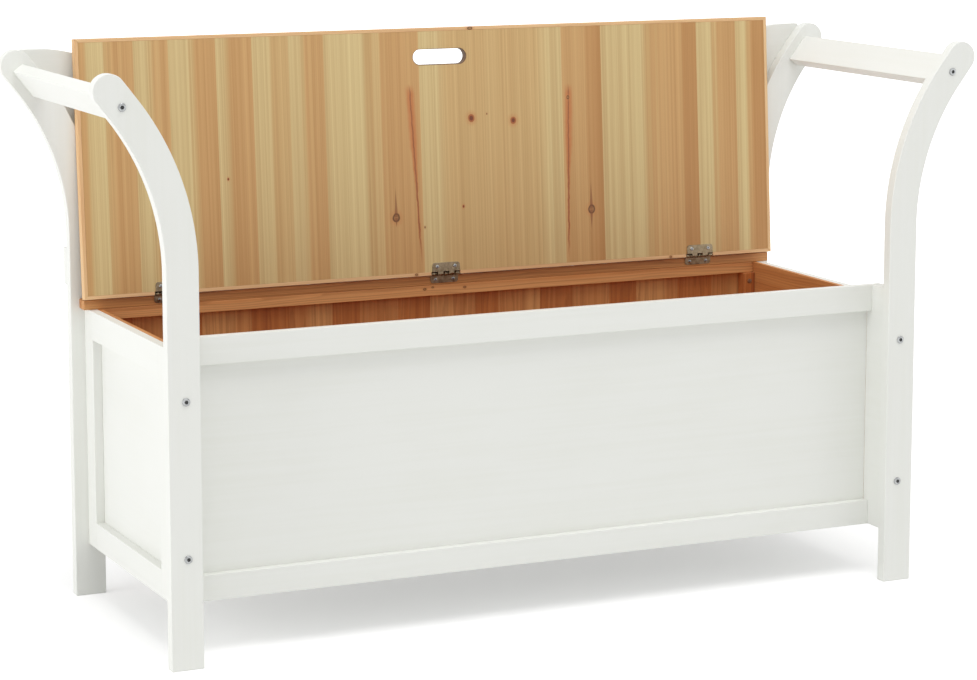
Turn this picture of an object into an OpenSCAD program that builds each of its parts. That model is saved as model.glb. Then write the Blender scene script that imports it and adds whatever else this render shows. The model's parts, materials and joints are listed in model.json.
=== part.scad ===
// Storage bench with two scrolled arm frames, a panelled box under the seat and a hinged seat lid.
// Millimetres, Z up, X along the bench, front towards -Y, origin on the floor under the middle.
// The seat lid is drawn standing open against the back posts.

/* [Posts] */
// Distance between the centre lines of the left and right posts
post_spacing = 1032; // [900:1:1300]
// Distance from the front face of a front post to the front face of a back post
post_reach = 398; // [380:1:440]
// Width of a post, seen from the front
post_w = 42; // [38:1:50]
// Thickness of a post, front to back
post_t = 16; // [14:1:22]
// Height of the straight stretch of a post
post_straight = 496; // [470:1:520]
// Radius of the outward bend, on the post's centre line
bend_r = 330; // [260:1:400]
// Angle through which the top of a post bends outwards
bend_angle = 38; // [32:0.5:42]
// Straight run between the bend and the middle of the scroll
scroll_run = 29; // [25:0.5:45]

/* [Arms] */
// Width of an arm board, along the post
arm_w = 43; // [34:1:46]
// Thickness of an arm board
arm_t = 16; // [14:1:20]
// Distance from the middle of the scroll down to the middle of the arm
arm_drop = 24.5; // [24:0.5:32]

/* [Box] */
// Height of the front of the box, where the lid comes down
box_top = 408; // [380:1:430]
// Height of the underside of the box above the floor
box_bottom = 71; // [50:1:110]
// How far the front rail and the hinge batten stand above the side tops
lap_h = 13; // [10:0.5:16]
// Thickness of the stiles and rails of the box
frame_t = 12; // [10:0.5:16]
// Thickness of the panels behind the stiles and rails
panel_t = 6; // [4:0.5:9]
// How far the outside of a side stands outside the posts' centre line
side_out = 2; // [0:0.5:4]
// How far the front of the box is set back from the front of the posts
front_setback = 51; // [46:1:60]
// Height of the upper rail of the front
front_rail_top_h = 36; // [28:1:50]
// Height of the lower rail of the front
front_rail_bottom_h = 33.5; // [26:0.5:50]
// Height of the upper rail of a side
side_rail_top_h = 39; // [30:1:50]
// Height of the lower rail of a side
side_rail_bottom_h = 36; // [30:1:50]
// Width of the front stile of a side
stile_front_w = 77.5; // [60:0.5:90]
// Width of the rear stile of a side
stile_rear_w = 34.5; // [30:0.5:50]
// Thickness of the back panel
back_panel_t = 9; // [6:0.5:12]
// Height of the ledge under the hinge batten
ledge_h = 15; // [12:1:30]
// Thickness of the ledge under the hinge batten
ledge_t = 12; // [8:0.5:16]
// Thickness of the floor of the box
floor_t = 9; // [6:0.5:12]
// Side of the square strips that carry the floor
floor_cleat = 12; // [10:1:18]
// Side of the square strips in the four corners of the box
corner_cleat = 18; // [15:1:24]
// How far the hinge batten reaches past the outside of each side
batten_overhang = 7; // [0:1:12]

/* [Seat lid] */
// How far the lid reaches past the outside of each side of the box
lid_overhang = 8; // [5:0.5:12]
// How far the closed lid reaches past the front of the box
lid_nose = 22.8; // [15:0.1:32]
// Thickness of the lid
lid_t = 12; // [11:0.5:13]
// Width of the edging strips round the lid
lipping_w = 5; // [4.5:0.5:8]
// Length of the hand slot
slot_l = 80; // [60:1:110]
// Width of the hand slot
slot_w = 21; // [18:1:26]
// Distance from the front edge of the lid to the middle of the hand slot
slot_inset = 40.5; // [34:0.5:60]
// Gap left between the closed lid and the front rail
seat_gap = 0.3; // [0.2:0.05:0.6]

/* [Hinges] */
// Distance between neighbouring hinges
hinge_pitch = 406; // [300:1:430]
// Length of a hinge
hinge_l = 42; // [30:1:60]
// Distance from the pin to the far edge of a lower leaf
leaf_reach = 13.5; // [12:0.5:15]
// Distance from the pin to the far edge of an upper leaf
upper_leaf_reach = 16; // [13:0.5:20]
// Radius of the corners at a leaf's far edge
leaf_corner_r = 4; // [1:0.5:5]
// Thickness of a leaf
leaf_t = 1.2; // [1:0.1:1.6]
// Outside radius of the knuckles
knuckle_r = 2.8; // [2.6:0.1:3]
// Distance from a leaf's screws to its ends
leaf_screw_inset = 7.5; // [5:0.5:9]
// Distance from the pin to a lower leaf's screws
leaf_screw_reach = 8.8; // [8:0.1:9.5]
// Distance from the pin to an upper leaf's screws
upper_screw_reach = 10.3; // [9:0.1:12]
// Radius of the hinge pin
hinge_pin_r = 1.3; // [1.1:0.05:1.5]
// Radial play of the pin in the moving knuckles
hinge_play = 0.05; // [0.03:0.01:0.08]
// Height of the pin above the underside of the closed lid
pin_height = 3; // [2.9:0.1:3.4]
// Distance from the pin to the rear edge of the lid
pin_to_edge = 1.6; // [1.4:0.1:1.8]
// Distance from the pin to the front face of the hinge batten
pin_to_batten = 4.4; // [4.2:0.1:5]

/* [Seat back] */
// Thickness of the crest rail and the lower back rail
crest_t = 12; // [10:0.5:18]
// How far the crest rail's ends stop short of the middle of the scrolls
crest_inset = 11.4; // [8:0.1:14]
// Height of the crest rail's ends above the middle of the scrolls
crest_rise = 20; // [15:0.1:21]
// How far the crest rail's top dips in the middle
crest_dip = 51; // [42:1:58]
// Height of the crest rail at its ends, measured down to its straight lower edge
crest_h = 110; // [100:1:120]
// Height of the lower edge of the lower back rail
back_rail_z = 425; // [420:1:440]
// Height of the lower back rail's face
back_rail_h = 50; // [40:1:70]
// Number of slats in the back
slat_count = 9; // [5:2:9]
// Width of a slat
slat_w = 50; // [30:1:60]
// Thickness of a slat
slat_t = 8; // [7:0.5:9]
// Distance between the centre lines of neighbouring slats
slat_pitch = 108; // [90:1:112]
// Length of the tenons on the slats
tenon_l = 12; // [8:1:16]
// Thickness of the tenons on the slats
tenon_t = 6; // [4:0.5:6.5]
// Width of the shoulder at each side of a tenon
tenon_shoulder = 5; // [3:1:8]

/* [Fixings] */
// Radius of the shank of the bolts and back screws
bolt_r = 2.5; // [2:0.1:3]
// Length of the bolts in the posts
bolt_l = 45; // [38:1:50]
// Radius of the bolt heads
bolt_head_r = 5.2; // [4.5:0.1:6]
// Height of the bolt heads
bolt_head_h = 1.6; // [1.2:0.1:2]
// Depth of the hexagon socket in a bolt head
socket_depth = 1.2; // [0.8:0.1:1.6]
// Height of the lower box bolt above the floor
bolt_low_z = 141; // [120:1:170]
// Height of the upper box bolt above the floor
bolt_high_z = 338.5; // [300:0.5:350]
// How far the box bolts lie inside the outer face of a side
bolt_inset = 4; // [3.5:0.5:6]
// Radius of the shank of the small wood screws
screw_r = 1.2; // [1:0.1:1.4]
// Radius of the heads of the small wood screws
screw_head_r = 2.6; // [2.2:0.1:3]
// Height of the heads of the small wood screws
screw_head_h = 0.6; // [0.4:0.1:0.7]
// Radius of the dowels in the side frames
dowel_r = 3; // [2.5:0.5:4]
// Length of the dowels in the side frames
dowel_l = 30; // [24:1:36]
// Distance from a dowel's middle to the nearer edge of its rail
dowel_inset = 10; // [7:1:12]

/* [Hidden] */
$fn = 48;

paint = "#e8e9e4";
natural = "#c8a06c";
dark_wood = "#a87545";
steel = "#9a9082";

// Play round the shanks and dowels, and a cutter's overrun past a face
fit = 0.05;
over = 1;

// Places across the bench
post_x = post_spacing / 2;
side_face = post_x + side_out;
side_back = side_face - frame_t;
side_inside = side_back - panel_t;
bolt_x = side_face - bolt_inset;

// Places front to back, with the crest rail's rear face as far behind as the posts are in front
depth = post_reach + post_t + crest_t;
front_y = -depth / 2;
front_post_back = front_y + post_t;
back_post_y = front_y + post_reach;
back_post_back = back_post_y + post_t;
rear_y = depth / 2;
box_front = front_y + front_setback;
front_panel_y = box_front + frame_t;
front_inside = front_panel_y + panel_t;
back_panel_y = back_post_y - back_panel_t;
ledge_y = back_panel_y - ledge_t;
batten_y = ledge_y;

// Heights
side_top = box_top - lap_h;
floor_z = box_bottom + floor_cleat;
floor_top = floor_z + floor_t;
ledge_z = side_top - ledge_h;
side_rail_low = box_bottom + side_rail_bottom_h;
side_rail_high = side_top - side_rail_top_h;

// The bend of a post: its centre, its two edges, and the middle of the scroll
bend_x = post_x + bend_r;
bend_inner = bend_r + post_w / 2;
bend_outer = bend_r - post_w / 2;
bend_end_x = bend_x - bend_r * cos(bend_angle);
bend_end_z = post_straight + bend_r * sin(bend_angle);
scroll_x = bend_end_x + scroll_run * sin(bend_angle);
scroll_z = bend_end_z + scroll_run * cos(bend_angle);
arm_x = scroll_x - arm_drop * sin(bend_angle);
arm_z = scroll_z - arm_drop * cos(bend_angle);
arm_l = post_reach - post_t;
bend_steps = 20;

// The hinge axis, and the lean at which the open lid meets the back posts
pin_y = batten_y - pin_to_batten;
pin_z = box_top + seat_gap + pin_height;
lid_w = 2 * (side_face + lid_overhang);
lid_l = pin_y + pin_to_edge - box_front + lid_nose;
lid_back = lid_t - pin_height;
stop_angle = acos((bend_x - lid_w / 2) / bend_inner);
stop_dy = back_post_y - seat_gap - pin_y;
stop_dz = post_straight + bend_inner * sin(stop_angle) - pin_z;
lid_lean = atan(stop_dy / stop_dz) - asin(lid_back / norm([stop_dy, stop_dz]));
lid_top = lid_l - pin_to_edge;

// The curved top of the crest rail, in its right half
crest_reach = scroll_x - crest_inset;
crest_top = scroll_z + crest_rise;
crest_bottom = crest_top - crest_h;
shoulder_angle = 14;
shoulder_steps = 6;
hollow_steps = 8;
shoulder_r = 180;
hollow_r = 1000;
crest_flat = 22;
shoulder_x = crest_reach - crest_flat;
shoulder_end = [shoulder_x - shoulder_r * sin(shoulder_angle),
    crest_top - shoulder_r * (1 - cos(shoulder_angle))];
hollow_z = crest_top - crest_dip;
hollow_rise = hollow_r * (1 - cos(shoulder_angle));
hollow_end_x = shoulder_end.x - (shoulder_end.y - hollow_z - hollow_rise) / tan(shoulder_angle);
hollow_x = hollow_end_x - hollow_r * sin(shoulder_angle);

// The lower corner of the crest rail's end, cut back so that the post covers it
crest_end_h = 41;
crest_end_cut = 37;
crest_end_low = crest_top - crest_end_h;
crest_foot_x = crest_reach - crest_end_cut;

// Places of the repeated pieces
bolt_heights = [bolt_low_z, bolt_high_z];
hinge_places = [-hinge_pitch, 0, hinge_pitch];
slat_first = -slat_pitch * (slat_count - 1) / 2;
leaf_screw_offset = hinge_l / 2 - leaf_screw_inset;
leaf_corner_steps = 6;
knuckle_count = 5;
knuckle_gap = 0.3;
knuckle_l = (hinge_l - knuckle_gap * (knuckle_count - 1)) / knuckle_count;
knuckle_pitch = knuckle_l + knuckle_gap;

// Fixings shared by more than one piece
back_screw_l = 25;
crest_screw_angles = [29, 36];
back_rail_screw_inset = 13;
cleat_screw_l = 27;
cleat_side_heights = [110, 205, 300];
cleat_face_inset = 12;
cleat_head_r = 3.4;
cleat_screw_r = 1.6;
batten_screw_l = 26;
batten_screw_r = 1.8;
batten_head_r = 3.6;
batten_head_h = 2;
leaf_screw_l = 9;
pocket = 0.2;
notch_play = 0.5;

function arc_points(centre, r, from, to, steps) =
    [for (i = [0:steps]) let (a = from + (to - from) * i / steps)
        [centre.x + r * cos(a), centre.y + r * sin(a)]];

function mirrored(points) = [for (i = [len(points) - 1:-1:0]) [-points[i].x, points[i].y]];

// Draws what is modelled on the right at the left instead, where side is -1
module handed(side) {
    if (side > 0) {
        children();
    } else {
        mirror([1, 0, 0]) children();
    }
}

// A box between two corners
module block(low, high) {
    translate(low) cube(high - low);
}

// A round rod from a point along Y, where way is 1 for backwards and -1 for forwards
module rod_y(at, way, length, r) {
    translate(at) rotate([-90 * way, 0, 0]) cylinder(h = length, r = r);
}

// A bolt with a low domed head and a hexagon socket, its head's underside at a point, driven along way
module bolt(at, way, length) {
    rod_y(at, way, length, bolt_r);
    difference() {
        rod_y([at.x, at.y - way * bolt_head_h, at.z], way, bolt_head_h, bolt_head_r);
        translate([at.x, at.y - way * bolt_head_h, at.z]) rotate([-90 * way, 0, 0])
            translate([0, 0, -over]) cylinder(h = socket_depth + over, r = bolt_r, $fn = 6);
    }
}

// Bolts that hold the box between the posts
module box_bolts() {
    color(steel)
    for (side = [-1, 1]) for (z = bolt_heights) {
        bolt([side * bolt_x, front_y, z], 1, bolt_l);
        bolt([side * bolt_x, back_post_back, z], -1, bolt_l);
    }
}

// The same bolts' holes
module box_bolt_holes() {
    for (side = [-1, 1]) for (z = bolt_heights) {
        rod_y([side * bolt_x, front_y - over, z], 1, bolt_l + over, bolt_r + fit);
        rod_y([side * bolt_x, back_post_back + over, z], -1, bolt_l + over, bolt_r + fit);
    }
}

// Bolts that hold the arms: the rear ones are sunk flush, because the crest rail covers them
module arm_bolts() {
    color(steel)
    for (side = [-1, 1]) {
        bolt([side * arm_x, front_y, arm_z], 1, bolt_l);
        bolt([side * arm_x, back_post_back - bolt_head_h, arm_z], -1, bolt_l);
    }
}

module arm_bolt_holes() {
    for (side = [-1, 1]) {
        rod_y([side * arm_x, front_y - over, arm_z], 1, bolt_l + over, bolt_r + fit);
        rod_y([side * arm_x, back_post_back, arm_z], -1, bolt_l + bolt_head_h + over, bolt_r + fit);
        rod_y([side * arm_x, back_post_back + over, arm_z], -1, bolt_head_h + over, bolt_head_r + fit);
    }
}

function back_screw_places() = concat(
    [for (side = [-1, 1]) for (a = crest_screw_angles)
        [side * (bend_x - bend_r * cos(a)), rear_y, post_straight + bend_r * sin(a)]],
    [for (side = [-1, 1]) for (z = [back_rail_screw_inset, back_rail_h - back_rail_screw_inset])
        [side * post_x, rear_y, back_rail_z + z]]
);

// Screws that hold the crest rail and the lower back rail to the back posts
module back_screws() {
    color(steel)
    for (at = back_screw_places()) bolt(at, -1, back_screw_l);
}

module back_screw_holes() {
    for (at = back_screw_places()) {
        rod_y([at.x, at.y + over, at.z], -1, back_screw_l + over, bolt_r + fit);
    }
}

// The outline of the right-hand post, seen from the front
function post_outline() = concat(
    [[post_x - post_w / 2, 0], [post_x + post_w / 2, 0]],
    arc_points([bend_x, post_straight], bend_outer, 180, 180 - bend_angle, bend_steps),
    arc_points([scroll_x, scroll_z], post_w / 2, -bend_angle, 180 - bend_angle, bend_steps),
    arc_points([bend_x, post_straight], bend_inner, 180 - bend_angle, 180, bend_steps)
);

// A post: straight, then bent outwards, then a short straight run to a round end
module post(side, y, back) {
    color(paint)
    difference() {
        handed(side) translate([0, y + post_t, 0]) rotate([90, 0, 0])
            linear_extrude(post_t) polygon(post_outline());
        box_bolt_holes();
        arm_bolt_holes();
        if (back) back_screw_holes();
    }
}

// An arm board on edge between the front and back posts, leaning as the posts' tops do
module arm(side) {
    color(paint)
    difference() {
        handed(side) translate([arm_x, front_post_back, arm_z]) rotate([0, bend_angle, 0])
            translate([-arm_t / 2, 0, -arm_w / 2]) cube([arm_t, arm_l, arm_w]);
        arm_bolt_holes();
    }
}

// The crest rail behind the back posts, with its mortises for the slats
module crest_rail() {
    top = concat(
        [[0, hollow_z]],
        arc_points([hollow_x, hollow_z + hollow_r], hollow_r, -90, -90 + shoulder_angle, hollow_steps),
        arc_points([shoulder_x, crest_top - shoulder_r], shoulder_r, 90 + shoulder_angle, 90, shoulder_steps),
        [[crest_reach, crest_top], [crest_reach, crest_end_low], [crest_foot_x, crest_bottom]]
    );
    color(paint)
    difference() {
        translate([0, rear_y, 0]) rotate([90, 0, 0])
            linear_extrude(crest_t) polygon(concat(mirrored(top), [for (i = [1:len(top) - 1]) top[i]]));
        slat_mortises(crest_bottom, 1);
        back_screw_holes();
    }
}

// The lower back rail behind the back posts
module lower_back_rail() {
    half = post_x + post_w / 2;
    color(paint)
    difference() {
        block([-half, back_post_back, back_rail_z], [half, rear_y, back_rail_z + back_rail_h]);
        slat_mortises(back_rail_z + back_rail_h, -1);
        back_screw_holes();
    }
}

// Mortises for the slats' tenons, upwards or downwards from a height
module slat_mortises(z, way) {
    for (i = [0:slat_count - 1]) {
        translate([slat_first + i * slat_pitch, rear_y - crest_t / 2, z + way * (tenon_l + pocket) / 2])
            cube([slat_w - 2 * tenon_shoulder + 2 * pocket, tenon_t + 2 * pocket, tenon_l + pocket], center = true);
    }
}

// One slat with a tenon at each end
module back_slat(i) {
    low = back_rail_z + back_rail_h;
    color(paint)
    translate([slat_first + (i - 1) * slat_pitch, rear_y - crest_t / 2, 0]) {
        block([-slat_w / 2, -slat_t / 2, low], [slat_w / 2, slat_t / 2, crest_bottom]);
        block([tenon_shoulder - slat_w / 2, -tenon_t / 2, low - tenon_l],
            [slat_w / 2 - tenon_shoulder, tenon_t / 2, crest_bottom + tenon_l]);
    }
}

// The upper rail of the front, which laps over the side tops as far as their outside
module front_rail_top() {
    color(paint)
    difference() {
        union() {
            block([-side_inside, box_front, box_top - front_rail_top_h], [side_inside, front_panel_y, box_top]);
            block([-side_face, box_front, side_top], [side_face, front_panel_y, box_top]);
        }
        cleat_screw_holes();
    }
}

module front_rail_bottom() {
    color(paint)
    difference() {
        block([-side_inside, box_front, box_bottom],
            [side_inside, front_panel_y, box_bottom + front_rail_bottom_h]);
        cleat_screw_holes();
    }
}

module front_panel() {
    color(paint)
    difference() {
        block([-side_inside, front_panel_y, box_bottom], [side_inside, front_inside, side_top]);
        cleat_screw_holes();
    }
}

// Dowels between the rails and stiles of the two sides
module frame_dowels(play = 0) {
    r = dowel_r + play;
    half = dowel_l / 2 + play;
    color(natural)
    for (side = [-1, 1]) for (y = [front_post_back + stile_front_w, back_post_y - stile_rear_w])
        for (z = [box_bottom + dowel_inset, side_rail_low - dowel_inset,
                side_rail_high + dowel_inset, side_top - dowel_inset]) {
            rod_y([side * (side_back + side_face) / 2, y - half, z], 1, 2 * half, r);
        }
}

// The rails and stiles of one side, between two places front to back and two heights
module side_board(side, y_low, y_high, z_low, z_high) {
    color(paint)
    difference() {
        handed(side) block([side_back, y_low, z_low], [side_face, y_high, z_high]);
        box_bolt_holes();
        frame_dowels(fit);
        batten_screw_holes();
        cleat_screw_holes();
    }
}

module side_rail_top(side) {
    side_board(side, front_post_back + stile_front_w, back_post_y - stile_rear_w, side_rail_high, side_top);
}

module side_rail_bottom(side) {
    side_board(side, front_post_back + stile_front_w, back_post_y - stile_rear_w, box_bottom, side_rail_low);
}

// In front of the box, the stile stands as high as the front rail
module side_stile_front(side) {
    color(paint)
    difference() {
        handed(side) union() {
            block([side_back, front_post_back, box_bottom],
                [side_face, front_post_back + stile_front_w, side_top]);
            block([side_back, front_post_back, side_top], [side_face, box_front, box_top]);
        }
        box_bolt_holes();
        frame_dowels(fit);
        cleat_screw_holes();
    }
}

module side_stile_rear(side) {
    side_board(side, back_post_y - stile_rear_w, back_post_y, box_bottom, side_top);
}

module side_panel(side) {
    color(paint)
    difference() {
        handed(side) union() {
            block([side_inside, front_post_back, box_bottom], [side_back, back_post_y, side_top]);
            block([side_inside, front_post_back, side_top], [side_back, box_front, box_top]);
        }
        cleat_screw_holes();
    }
}

module back_panel() {
    color(natural)
    difference() {
        block([-side_inside, back_panel_y, box_bottom], [side_inside, back_post_y, side_top]);
        cleat_screw_holes();
    }
}

// The ledge that carries the hinge batten, in front of the back panel
module back_ledge() {
    color(natural)
    difference() {
        block([-side_inside, ledge_y, ledge_z], [side_inside, back_panel_y, side_top]);
        batten_screw_holes();
    }
}

// The strip on the ledge and the side tops that the hinges are screwed to
module hinge_batten() {
    half = side_face + batten_overhang;
    color(dark_wood)
    difference() {
        block([-half, batten_y, side_top], [half, back_post_y, box_top]);
        batten_screw_holes();
        hinge_screws_batten(fit);
    }
}

function batten_screw_places() =
    [for (x = [-bolt_x, -hinge_pitch / 2, hinge_pitch / 2, bolt_x]) [x, ledge_y + ledge_t / 2, box_top]];

// Countersunk screws that hold the batten to the ledge and the side tops
module batten_screws() {
    color(steel)
    for (at = batten_screw_places()) {
        translate([at.x, at.y, at.z - batten_screw_l]) cylinder(h = batten_screw_l - over, r = batten_screw_r);
        translate([at.x, at.y, at.z - batten_head_h])
            cylinder(h = batten_head_h, r1 = batten_screw_r, r2 = batten_head_r);
    }
}

module batten_screw_holes() {
    for (at = batten_screw_places()) {
        translate([at.x, at.y, at.z - batten_screw_l - fit])
            cylinder(h = batten_screw_l + over, r = batten_screw_r + fit);
        translate([at.x, at.y, at.z - batten_head_h - fit])
            cylinder(h = batten_head_h + 2 * fit, r1 = batten_screw_r + fit, r2 = batten_head_r + 3 * fit);
    }
}

// A square strip in a corner of the box: end is -1 in front and 1 behind
module corner_cleat_at(side, end) {
    y = end < 0 ? front_inside : back_panel_y - corner_cleat;
    top = end < 0 ? side_top : ledge_z;
    color(natural)
    difference() {
        handed(side) block([side_inside - corner_cleat, y, floor_top], [side_inside, y + corner_cleat, top]);
        cleat_screw_holes();
    }
}

// Screws through the corner strips, outwards into the sides and lengthwise into the front and back
function cleat_screws_list() = concat(
    [for (side = [-1, 1]) for (y = [front_inside + corner_cleat / 2, back_panel_y - corner_cleat / 2])
        for (z = cleat_side_heights) [[side * (side_inside - corner_cleat), y, z], [0, 90 * side, 0], cleat_screw_l]],
    [for (side = [-1, 1]) for (z = [floor_top + cleat_face_inset / 2, box_top - front_rail_top_h + cleat_face_inset])
        [[side * (side_inside - corner_cleat / 2), front_inside + corner_cleat, z], [90, 0, 0], cleat_screw_l]],
    [for (side = [-1, 1]) for (z = [floor_top + cleat_face_inset, ledge_z - cleat_face_inset])
        [[side * (side_inside - corner_cleat / 2), back_panel_y - corner_cleat, z], [-90, 0, 0],
            cleat_screw_l - 3]]
);

module cleat_screws() {
    color(steel)
    for (s = cleat_screws_list()) translate(s[0]) rotate(s[1]) {
        cylinder(h = s[2], r = cleat_screw_r);
        translate([0, 0, -screw_head_h]) cylinder(h = screw_head_h, r = cleat_head_r);
    }
}

module cleat_screw_holes() {
    for (s = cleat_screws_list()) translate(s[0]) rotate(s[1])
        translate([0, 0, -over]) cylinder(h = s[2] + over + fit, r = cleat_screw_r + fit);
}

module floor_panel() {
    color(natural)
    block([-side_inside, front_inside, floor_z], [side_inside, back_panel_y, floor_top]);
}

module floor_cleat_front() {
    color(natural)
    block([-side_inside, front_inside, box_bottom], [side_inside, front_inside + floor_cleat, floor_z]);
}

module floor_cleat_back() {
    color(natural)
    block([-side_inside, back_panel_y - floor_cleat, box_bottom], [side_inside, back_panel_y, floor_z]);
}

module floor_cleat_side(side) {
    color(natural)
    handed(side) block([side_inside - floor_cleat, front_inside + floor_cleat, box_bottom],
        [side_inside, back_panel_y - floor_cleat, floor_z]);
}

// Puts what is drawn with the pin at the origin, Y through the lid and Z up its length, on the open lid
module on_lid() {
    translate([0, pin_y, pin_z]) rotate([-lid_lean, 0, 0]) children();
}

// The glued-up panel of the lid with its hand slot
module lid_panel() {
    slot_z = lid_top - slot_inset;
    straight = slot_l - slot_w;
    color(natural)
    difference() {
        on_lid() block([-lid_w / 2 + lipping_w, -pin_height, lipping_w - pin_to_edge],
            [lid_w / 2 - lipping_w, lid_back, lid_top - lipping_w]);
        on_lid() {
            block([-straight / 2, -pin_height - over, slot_z - slot_w / 2],
                [straight / 2, lid_back + over, slot_z + slot_w / 2]);
            for (x = [-straight / 2, straight / 2]) {
                rod_y([x, -pin_height - over, slot_z], 1, lid_t + 2 * over, slot_w / 2);
            }
        }
        hinge_screws_lid(fit);
    }
}

// An edging strip with mitred ends: half_l is half of its outer length, drawn along X with its outside at 0
module mitred_strip(half_l) {
    rotate([90, 0, 0]) translate([0, 0, -lid_back]) linear_extrude(lid_t)
        polygon([[-half_l, 0], [half_l, 0], [half_l - lipping_w, lipping_w], [-half_l + lipping_w, lipping_w]]);
}

module lid_edge_front() {
    color(natural)
    on_lid() translate([0, 0, lid_top]) mirror([0, 0, 1]) mitred_strip(lid_w / 2);
}

// The rear edging strip, cut away where the knuckles turn
module lid_edge_rear() {
    color(natural)
    on_lid() difference() {
        translate([0, 0, -pin_to_edge]) mitred_strip(lid_w / 2);
        for (x = hinge_places) {
            block([x - hinge_l / 2 - over, -pin_height - over, -pin_to_edge - over],
                [x + hinge_l / 2 + over, pin_to_batten + notch_play, lipping_w]);
        }
    }
}

module lid_edge_side(side) {
    color(natural)
    on_lid() handed(side) translate([lid_w / 2, 0, lid_l / 2 - pin_to_edge]) rotate([0, -90, 0])
        mitred_strip(lid_l / 2);
}

// The knuckles of a leaf, from first in steps of two, with the bridge that joins each to its leaf
module knuckles(first, bore_r) {
    for (i = [first:2:knuckle_count - 1]) translate([-hinge_l / 2 + i * knuckle_pitch, 0, 0]) {
        difference() {
            union() {
                rotate([0, 90, 0]) cylinder(h = knuckle_l, r = knuckle_r);
                children();
            }
            translate([-over, 0, 0]) rotate([0, 90, 0]) cylinder(h = knuckle_l + 2 * over, r = bore_r);
        }
    }
}

// The flat plate of a leaf, facing -Y at y, from its edge at the pin up to far, with two round corners
// and a hole for each screw at height screw
module leaf_plate(y, near, far, screw) {
    corner_x = hinge_l / 2 - leaf_corner_r;
    corner_z = far - leaf_corner_r;
    difference() {
        translate([0, y + leaf_t, 0]) rotate([90, 0, 0]) linear_extrude(leaf_t) polygon(concat(
            [[-hinge_l / 2, near], [hinge_l / 2, near]],
            arc_points([corner_x, corner_z], leaf_corner_r, 0, 90, leaf_corner_steps),
            arc_points([-corner_x, corner_z], leaf_corner_r, 90, 180, leaf_corner_steps)
        ));
        for (x = [-leaf_screw_offset, leaf_screw_offset]) {
            rod_y([x, y - over, screw], 1, leaf_t + 2 * over, screw_r + fit);
        }
    }
}

// The fixed leaves, on the front face of the batten
module hinge_lower_leaves() {
    plate_top = -knuckle_r - notch_play;
    color(steel)
    for (x = hinge_places) translate([x, pin_y, pin_z]) {
        mirror([0, 0, 1]) leaf_plate(pin_to_batten - leaf_t, -plate_top, leaf_reach, leaf_screw_reach);
        knuckles(0, hinge_pin_r + fit)
            block([0, knuckle_r - leaf_t, plate_top - 1], [knuckle_l, pin_to_batten, 0]);
    }
}

// The moving leaves, on the underside of the lid
module hinge_upper_leaves() {
    plate_low = knuckle_r + notch_play;
    color(steel)
    on_lid() for (x = hinge_places) translate([x, 0, 0]) {
        leaf_plate(-pin_height - leaf_t, plate_low, upper_leaf_reach, upper_screw_reach);
        knuckles(1, hinge_pin_r + hinge_play)
            block([0, -pin_height - leaf_t, 0], [knuckle_l, -knuckle_r + leaf_t, plate_low]);
    }
}

module hinge_pins() {
    color(steel)
    for (x = hinge_places) translate([x - hinge_l / 2, pin_y, pin_z]) rotate([0, 90, 0])
        cylinder(h = hinge_l, r = hinge_pin_r);
}

// A small round-headed screw through a leaf whose face is at y, driven backwards
module leaf_screws(y, z, play) {
    for (x = [-leaf_screw_offset, leaf_screw_offset]) {
        rod_y([x, y, z], 1, leaf_screw_l, screw_r + play);
        rod_y([x, y - screw_head_h, z], 1, screw_head_h, screw_head_r);
    }
}

module hinge_screws_batten(play = 0) {
    color(steel)
    for (x = hinge_places) translate([x, pin_y, pin_z])
        leaf_screws(pin_to_batten - leaf_t, -leaf_screw_reach, play);
}

module hinge_screws_lid(play = 0) {
    color(steel)
    on_lid() for (x = hinge_places) translate([x, 0, 0])
        leaf_screws(-pin_height - leaf_t, upper_screw_reach, play);
}

post(-1, front_y, false);  // post_front_left
post(1, front_y, false);  // post_front_right
post(-1, back_post_y, true);  // post_back_left
post(1, back_post_y, true);  // post_back_right
arm(-1);  // arm_left
arm(1);  // arm_right
crest_rail();
lower_back_rail();
for (i = [1:slat_count]) {
    back_slat(i);
}
front_rail_top();
front_rail_bottom();
front_panel();
side_rail_top(-1);  // side_rail_top_left
side_rail_top(1);  // side_rail_top_right
side_rail_bottom(-1);  // side_rail_bottom_left
side_rail_bottom(1);  // side_rail_bottom_right
side_stile_front(-1);  // side_stile_front_left
side_stile_front(1);  // side_stile_front_right
side_stile_rear(-1);  // side_stile_rear_left
side_stile_rear(1);  // side_stile_rear_right
side_panel(-1);  // side_panel_left
side_panel(1);  // side_panel_right
back_panel();
back_ledge();
hinge_batten();
corner_cleat_at(-1, -1);  // corner_cleat_front_left
corner_cleat_at(1, -1);  // corner_cleat_front_right
corner_cleat_at(-1, 1);  // corner_cleat_back_left
corner_cleat_at(1, 1);  // corner_cleat_back_right
floor_panel();
floor_cleat_front();
floor_cleat_back();
floor_cleat_side(-1);  // floor_cleat_left
floor_cleat_side(1);  // floor_cleat_right
lid_panel();
lid_edge_front();
lid_edge_rear();
lid_edge_side(-1);  // lid_edge_left
lid_edge_side(1);  // lid_edge_right
hinge_lower_leaves();
hinge_upper_leaves();
hinge_pins();
hinge_screws_batten();
hinge_screws_lid();
box_bolts();
arm_bolts();
back_screws();
batten_screws();
cleat_screws();
frame_dowels();
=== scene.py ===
"""Looks of the storage bench: white satin paint outside, a glued-up softwood lid, bare softwood inside."""
import json
import logging
import math
from collections.abc import Callable
from dataclasses import dataclass, replace
from enum import Enum
from functools import partial

import bmesh
import bpy
from mathutils import Matrix, Vector

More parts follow.
